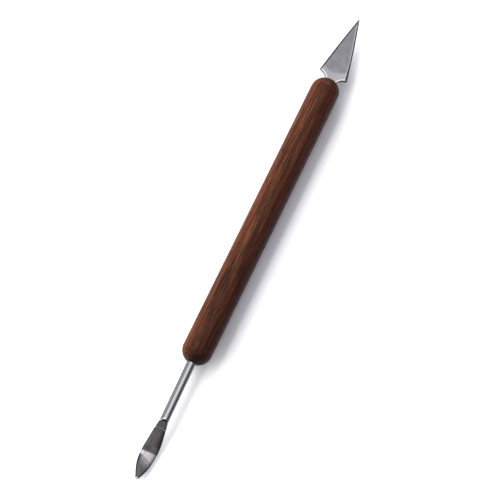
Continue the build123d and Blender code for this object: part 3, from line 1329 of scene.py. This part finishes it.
@dataclass(frozen=True)
class LeafBlade:
    """The bowed leaf blade with its shank and tang, in the frame of the leaf end."""

    plan: ToolPlan
    shank_length: float = 20.2 * MM
    root_overlap: float = 1.0 * MM
    full_half_width: float = 2.625 * MM
    full_half_thickness: float = 0.45 * MM
    knee: float = 1.6 * MM
    knee_radius: float = 8.0 * MM
    belly_share: float = 0.614
    belly_radius: float = 11.0 * MM
    belly_widening: float = 0.4
    fall: float = math.radians(23.05)
    rise: float = math.radians(19.1)
    upper_slant: float = 0.034
    lower_slant: float = 0.44
    band_reach: float = 1.76 * MM
    tip_radius: float = 0.4 * MM
    step_length: float = 2.8 * MM
    rim: float = 0.035 * MM
    swell: float = 0.32 * MM
    swell_at: float = 8.0 * MM
    swell_run: float = 7.0 * MM
    lens_power: int = 4
    slope_step: float = 0.01 * MM
    crease: float = 30.0
    across: int = 33
    tang_rings: int = 40
    root_rings: int = 90
    leaf_rings: int = 110
    tip_rings: int = 10
    path_points: int = 400
    after_tang: float = 0.05 * MM
    before_tip: float = 0.1 * MM
    tip_last_turn: float = math.pi / 2 - 0.1
    # Share of the way along the leaf, and shares of its full width and thickness there
    section_shares: tuple[tuple[float, float, float], ...] = (
        (0.000, 0.47, 1.00),
        (0.090, 0.61, 1.06),
        (0.200, 0.72, 1.06),
        (0.330, 0.84, 1.04),
        (0.470, 0.95, 1.00),
        (0.600, 0.99, 0.98),
        (0.720, 0.90, 0.92),
        (0.830, 0.66, 0.82),
        (0.900, 0.44, 0.70),
        (0.950, 0.28, 0.58),
        (1.000, 0.15, 0.46),
    )

    @property
    def leaf_length(self) -> float:
        """Length from the shank's end to the tip, measured along X."""
        return self.plan.leaf_reach - self.shank_length

    @property
    def belly_x(self) -> float:
        """Where the two slopes of the leaf would meet."""
        return self.shank_length + self.belly_share * self.leaf_length

    def middle_line(self, x: float, y: np.ndarray) -> np.ndarray:
        """Height of the leaf's middle surface: level, down to the belly, then up to the tip.

        Args:
            x: the station.
            y: the distances from the leaf's middle line.

        Returns:
            The heights at those places.
        """
        knee_x = self.shank_length + self.knee
        drop = (self.belly_x - knee_x) * math.tan(self.fall)
        radius = self.belly_radius * (1 + self.belly_widening * y / self.full_half_width)
        if x < (knee_x + self.belly_x) / 2:
            return bent(x, knee_x, 0.0, 0.0, -self.fall, np.full_like(y, self.knee_radius))
        return bent(x, self.belly_x, -drop, -self.fall, self.rise, radius)

    def middle_height(self, x: float) -> float:
        """Height of the leaf's middle line at a station."""
        return float(self.middle_line(x, np.zeros(1))[0])

    @cached_property
    def path_table(self) -> tuple[np.ndarray, np.ndarray]:
        """Stations along the leaf, and the share of its middle line's length at each."""
        first = self.shank_length - self.root_overlap
        at = np.linspace(first, self.plan.leaf_reach + self.tip_radius, self.path_points)
        heights = np.array([self.middle_height(x) for x in at])
        lengths = np.concatenate([[0], np.cumsum(np.hypot(np.diff(at), np.diff(heights)))])
        return at, lengths / lengths[-1]

    def shares(self, x: float) -> tuple[float, float]:
        """Width and thickness of the leaf, as shares of the full ones.

        Args:
            x: the station.

        Returns:
            The share of the width and the share of the thickness there.
        """
        places, wide, thick = np.array(self.section_shares).T
        share = float(np.interp(x, *self.path_table))
        return smooth_between(places, wide, share), smooth_between(places, thick, share)

    def rod_faces(self, x: float, y: np.ndarray) -> tuple[np.ndarray, np.ndarray]:
        """Upper and lower face of the round bar, which is cut off slantwise where the leaf begins.

        Args:
            x: the station.
            y: the distances from the blade's middle line.

        Returns:
            The heights of both faces, which are BEYOND where there is no bar.
        """
        bow = np.sqrt(np.maximum(self.plan.shank_radius ** 2 - y ** 2, 0))
        cut = self.cut_height(x)
        inside = (np.abs(y) <= self.plan.shank_radius) & (cut > -bow - SLIVER)
        return np.where(inside, np.minimum(bow, cut), -BEYOND), np.where(inside, -bow, BEYOND)

    def leaf_faces(self, x: float, y: np.ndarray, reach: float) -> tuple[np.ndarray, np.ndarray]:
        """Upper and lower face of the leaf.

        Args:
            x: the station.
            y: the distances from the blade's middle line.
            reach: the leaf's half width there.

        Returns:
            The heights of both faces, which are BEYOND where there is no leaf.
        """
        slope = abs(self.middle_height(x + self.slope_step) - self.middle_height(x)) / self.slope_step
        half = self.shares(x)[1] * self.full_half_thickness * math.hypot(1, slope)
        middle = self.middle_line(x, y)
        lens = half * np.clip(1 - (y / reach) ** self.lens_power, 0, 1)
        inside = np.abs(y) <= reach + SLIVER
        return np.where(inside, middle + lens, -BEYOND), np.where(inside, middle - lens, BEYOND)

    def cut_height(self, x: float) -> float:
        """Height of the slanting cut through the round bar at a station."""
        rod = self.plan.shank_radius
        return min(rod, rod * (1 - (x - self.shank_length) / self.step_length))

    def rod_reach(self, x: float) -> float:
        """Half width of what the slanting cut leaves of the round bar at a station."""
        rod = self.plan.shank_radius
        cut = self.cut_height(x)
        return rod if cut >= 0 else math.sqrt(max(rod ** 2 - cut ** 2, 0))

    def leaf_reach(self, x: float) -> float:
        """Half width of the leaf, with its rounded tip.

        Args:
            x: the station.

        Returns:
            The half width there, which is 0 before the leaf begins.
        """
        if x <= self.shank_length - self.root_overlap:
            return 0.0
        reach = self.shares(x)[0] * self.full_half_width
        centre = self.plan.leaf_reach - self.tip_radius
        if x <= centre:
            return reach
        return min(reach, math.sqrt(max(self.tip_radius ** 2 - (x - centre) ** 2, 0)))

    def ring(self, x: float) -> np.ndarray:
        """Ring of points around the steel.

        Args:
            x: the station.

        Returns:
            The ring's points.
        """
        leaf_reach = self.leaf_reach(x)
        reach = max(self.rod_reach(x), leaf_reach)
        y = reach * np.cos(np.linspace(0, math.pi, self.across))
        top, low = self.rod_faces(x, y)
        if leaf_reach > 0:
            leaf_top, leaf_low = self.leaf_faces(x, y, leaf_reach)
            top = np.maximum(top, leaf_top)
            low = np.minimum(low, leaf_low)
        centre_line = (top + low) / 2
        top = np.maximum(top, centre_line + self.rim)
        low = np.minimum(low, centre_line - self.rim)
        off_swell = min(abs(x - self.shank_length - self.swell_at) / self.swell_run, 1.0)
        swell = self.swell * math.cos(off_swell * math.pi / 2) ** 2
        y = np.where(y > 0, y * (1 + swell / reach), y)
        upper = np.stack([np.full_like(y, x), y, top], axis=1)
        lower = np.stack([np.full_like(y, x), y[::-1], low[::-1]], axis=1)
        return np.concatenate([upper, lower])

    def stations(self) -> np.ndarray:
        """Places of the rings along the shank and the leaf."""
        leaf_start = self.shank_length - self.root_overlap
        root_end = self.shank_length + 2 * self.step_length
        centre = self.plan.leaf_reach - self.tip_radius
        tang = np.linspace(-self.plan.tang_depth, leaf_start, self.tang_rings)
        root = np.linspace(leaf_start + self.after_tang, root_end, self.root_rings)
        leaf = np.linspace(root_end + self.before_tip, centre - self.before_tip, self.leaf_rings)
        tip = centre + self.tip_radius * np.sin(np.linspace(0, self.tip_last_turn, self.tip_rings))
        return np.concatenate([tang, root, leaf, tip])

    def build(self) -> None:
        """Makes the leaf blade in place of its node."""
        skin = RingSkin("leaf_steel_blade", self.plan.end(ToolEnd.LEAF))
        for x in self.stations():
            skin.add(self.ring(float(x)))
        dress(skin.build(self.crease), LeafSteel(self.plan), "leaf_blade")


def bent(x: float, corner_x: float, corner_z: float, before: float, after: float,
         radius: np.ndarray) -> np.ndarray:
    """Heights of pairs of straight lines, each joined by an arc.

    Args:
        x: where the heights are wanted.
        corner_x: where the two lines would meet.
        corner_z: the height there.
        before: the slope before the corner, as an angle.
        after: the slope after it.
        radius: the radius of each pair's arc.

    Returns:
        The height of each pair.
    """
    turn = (after - before) / 2
    middle = (after + before) / 2
    sign = 1.0 if turn > 0 else -1.0
    reach = radius / math.cos(turn)
    centre_x = corner_x - sign * reach * math.sin(middle)
    centre_z = corner_z + sign * reach * math.cos(middle)
    tangent = radius * math.tan(abs(turn))
    first = x < corner_x - tangent * math.cos(before)
    second = x > corner_x + tangent * math.cos(after)
    arc = centre_z - sign * np.sqrt(np.maximum(radius ** 2 - (x - centre_x) ** 2, 0))
    height = np.where(first, corner_z + (x - corner_x) * math.tan(before), arc)
    return np.where(second, corner_z + (x - corner_x) * math.tan(after), height)


def smooth_between(places: np.ndarray, values: np.ndarray, at: float) -> float:
    """Smooth curve through a table of values.

    Args:
        places: where the values are known, in rising order.
        values: the values there.
        at: where the value is wanted.

    Returns:
        The value on a cubic curve through the table.
    """
    slopes = np.gradient(values, places)
    i = int(np.clip(np.searchsorted(places, at) - 1, 0, len(places) - 2))
    width = places[i + 1] - places[i]
    t = (at - places[i]) / width
    start = (1 + 2 * t) * (1 - t) ** 2 * values[i] + t * (1 - t) ** 2 * slopes[i] * width
    end = t * t * (3 - 2 * t) * values[i + 1] + t * t * (t - 1) * slopes[i + 1] * width
    return float(start + end)


@dataclass(frozen=True)
class GlueBeds:
    """The two beds of set glue, which keep their own shape."""

    nodes: tuple[str, ...] = ("spear_glue", "leaf_glue")

    def build(self) -> None:
        """Dresses both beds."""
        for name in self.nodes:
            dress(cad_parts[name], SetGlue())


# Studio


@dataclass(frozen=True)
class Viewpoint:
    """The camera, placed by what it aims at."""

    plan: ToolPlan
    lens: float = 101.0
    sensor: float = 36.0
    aim: tuple[float, float, float] = (-4.8 * MM, -0.94 * MM, 5.0 * MM)
    distance: float = 462.0 * MM
    tilt: float = math.radians(18.41)
    heading: float = math.radians(24.94)
    roll: float = math.radians(-10.0)

    def build(self) -> None:
        """Makes the camera, and turns it about the handle's axis by the roll."""
        up = Vector((math.cos(self.heading), math.sin(self.heading), 0))
        right = Vector((math.sin(self.heading), -math.cos(self.heading), 0))
        back = math.cos(self.tilt) * AXES[2] - math.sin(self.tilt) * up
        top = back.cross(right)
        place = Matrix((right, top, back)).transposed().to_4x4()
        place.translation = Vector(self.aim) + self.distance * back
        axis = Vector((0, 0, self.plan.handle_radius))
        about = Matrix.Translation(axis) @ Matrix.Rotation(self.roll, 4, "X") @ Matrix.Translation(-axis)
        data = bpy.data.cameras.new("camera")
        data.lens = self.lens
        data.sensor_width = self.sensor
        camera = bpy.data.objects.new("camera", data)
        camera.matrix_world = about @ place
        bpy.context.scene.collection.objects.link(camera)
        bpy.context.scene.camera = camera


@dataclass(frozen=True)
class Studio:
    """White paper floor, one long soft light and a dim room around them."""

    floor_radius: float = 15.0
    floor_corners: int = 64
    light_distance: float = 1.2
    light_across: float = math.radians(42.0)
    light_ahead: float = math.radians(8.0)
    light_width: float = 0.62
    light_length: float = 3.0
    light_power: float = 23.0
    room_fill: float = 0.72
    room_shown: float = 1.4
    room_tint: Colour = (0.96, 0.96, 1.04)
    # Brightness by direction, from the right at 0 to the left at 1
    room_levels: tuple[tuple[float, float], ...] = (
        (0.01, 0.14),
        (0.055, 0.10),
        (0.12, 0.16),
        (0.20, 0.32),
        (0.30, 0.50),
        (0.40, 0.68),
        (0.50, 0.98),
        (0.60, 1.25),
        (0.70, 0.86),
        (0.80, 0.60),
        (0.89, 0.52),
        (0.96, 0.42),
    )
    behind: Step = (-0.25, -0.6)
    behind_dimmed: float = 0.75
    ahead: Step = (0.45, 0.8)
    ahead_dimmed: float = 0.5
    ceiling: Step = (0.9, 1.0)
    ceiling_lift: float = 0.15

    def floor(self) -> None:
        """Lays the paper as a wide round sheet."""
        mesh_data = bmesh.new()
        bmesh.ops.create_circle(
            mesh_data, cap_ends=True, radius=self.floor_radius, segments=self.floor_corners)
        mesh = bpy.data.meshes.new("floor")
        mesh_data.to_mesh(mesh)
        mesh_data.free()
        made = bpy.data.objects.new("floor", mesh)
        bpy.context.scene.collection.objects.link(made)
        made.data.materials.append(PaperFloor().material())

    def key_light(self) -> None:
        """Hangs the long soft light up on the side of +Y, in line with the tool."""
        away = Vector((
            math.sin(self.light_ahead),
            math.sin(self.light_across) * math.cos(self.light_ahead),
            math.cos(self.light_across) * math.cos(self.light_ahead)))
        data = bpy.data.lights.new("key_light", "AREA")
        data.shape = "RECTANGLE"
        data.size = self.light_length
        data.size_y = self.light_width
        data.energy = self.light_power
        back = away.normalized()
        side = AXES[0] - back.x * back
        side.normalize()
        place = Matrix((side, back.cross(side), back)).transposed().to_4x4()
        place.translation = self.light_distance * back
        lamp = bpy.data.objects.new("key_light", data)
        lamp.matrix_world = place
        lamp.visible_glossy = False
        bpy.context.scene.collection.objects.link(lamp)

    def room(self) -> None:
        """Paints the room by direction: lighter to the left and overhead, dimmer ahead and behind."""
        world = bpy.data.worlds.new("room")
        world.use_nodes = True
        bpy.context.scene.world = world
        graph = Graph(world.node_tree)
        direction = graph.signal("ShaderNodeTexCoord", output="Generated")
        ahead, left, up = graph.measure(direction, ORIGIN)
        stops = [(place, (level, level, level)) for place, level in self.room_levels]
        level = graph.ramp(left * 0.5 + 0.5, stops)
        rays = graph.node("ShaderNodeLightPath")
        shown = Signal(graph, rays.outputs["Is Glossy Ray"])
        strength = self.room_fill + shown * (self.room_shown - self.room_fill)
        strength = strength * (1.0 - ahead.window(self.behind) * self.behind_dimmed)
        strength = strength * (1.0 - ahead.window(self.ahead) * self.ahead_dimmed)
        strength = strength * (1.0 + up.window(self.ceiling) * self.ceiling_lift)
        colour = graph.mix(1.0, level, self.room_tint, Blend.MULTIPLY)
        background = graph.node("ShaderNodeBackground", None, {
            "Color": colour, "Strength": strength})
        graph.node("ShaderNodeOutputWorld", None, {"Surface": background})

    def build(self) -> None:
        """Sets up the floor, the light and the room."""
        self.floor()
        self.key_light()
        self.room()
        bpy.context.scene.view_settings.view_transform = "Standard"


def main() -> None:
    """Builds the tool's pieces in order, then the camera and the studio."""
    logging.basicConfig(level=logging.INFO, format="%(name)s: %(message)s")
    plan = ToolPlan()
    Viewpoint(plan).build()
    Handle(plan).build()
    SpearBlade(plan).build()
    LeafBlade(plan).build()
    GlueBeds().build()
    Studio().build()


if __name__ == "__main__":
    main()
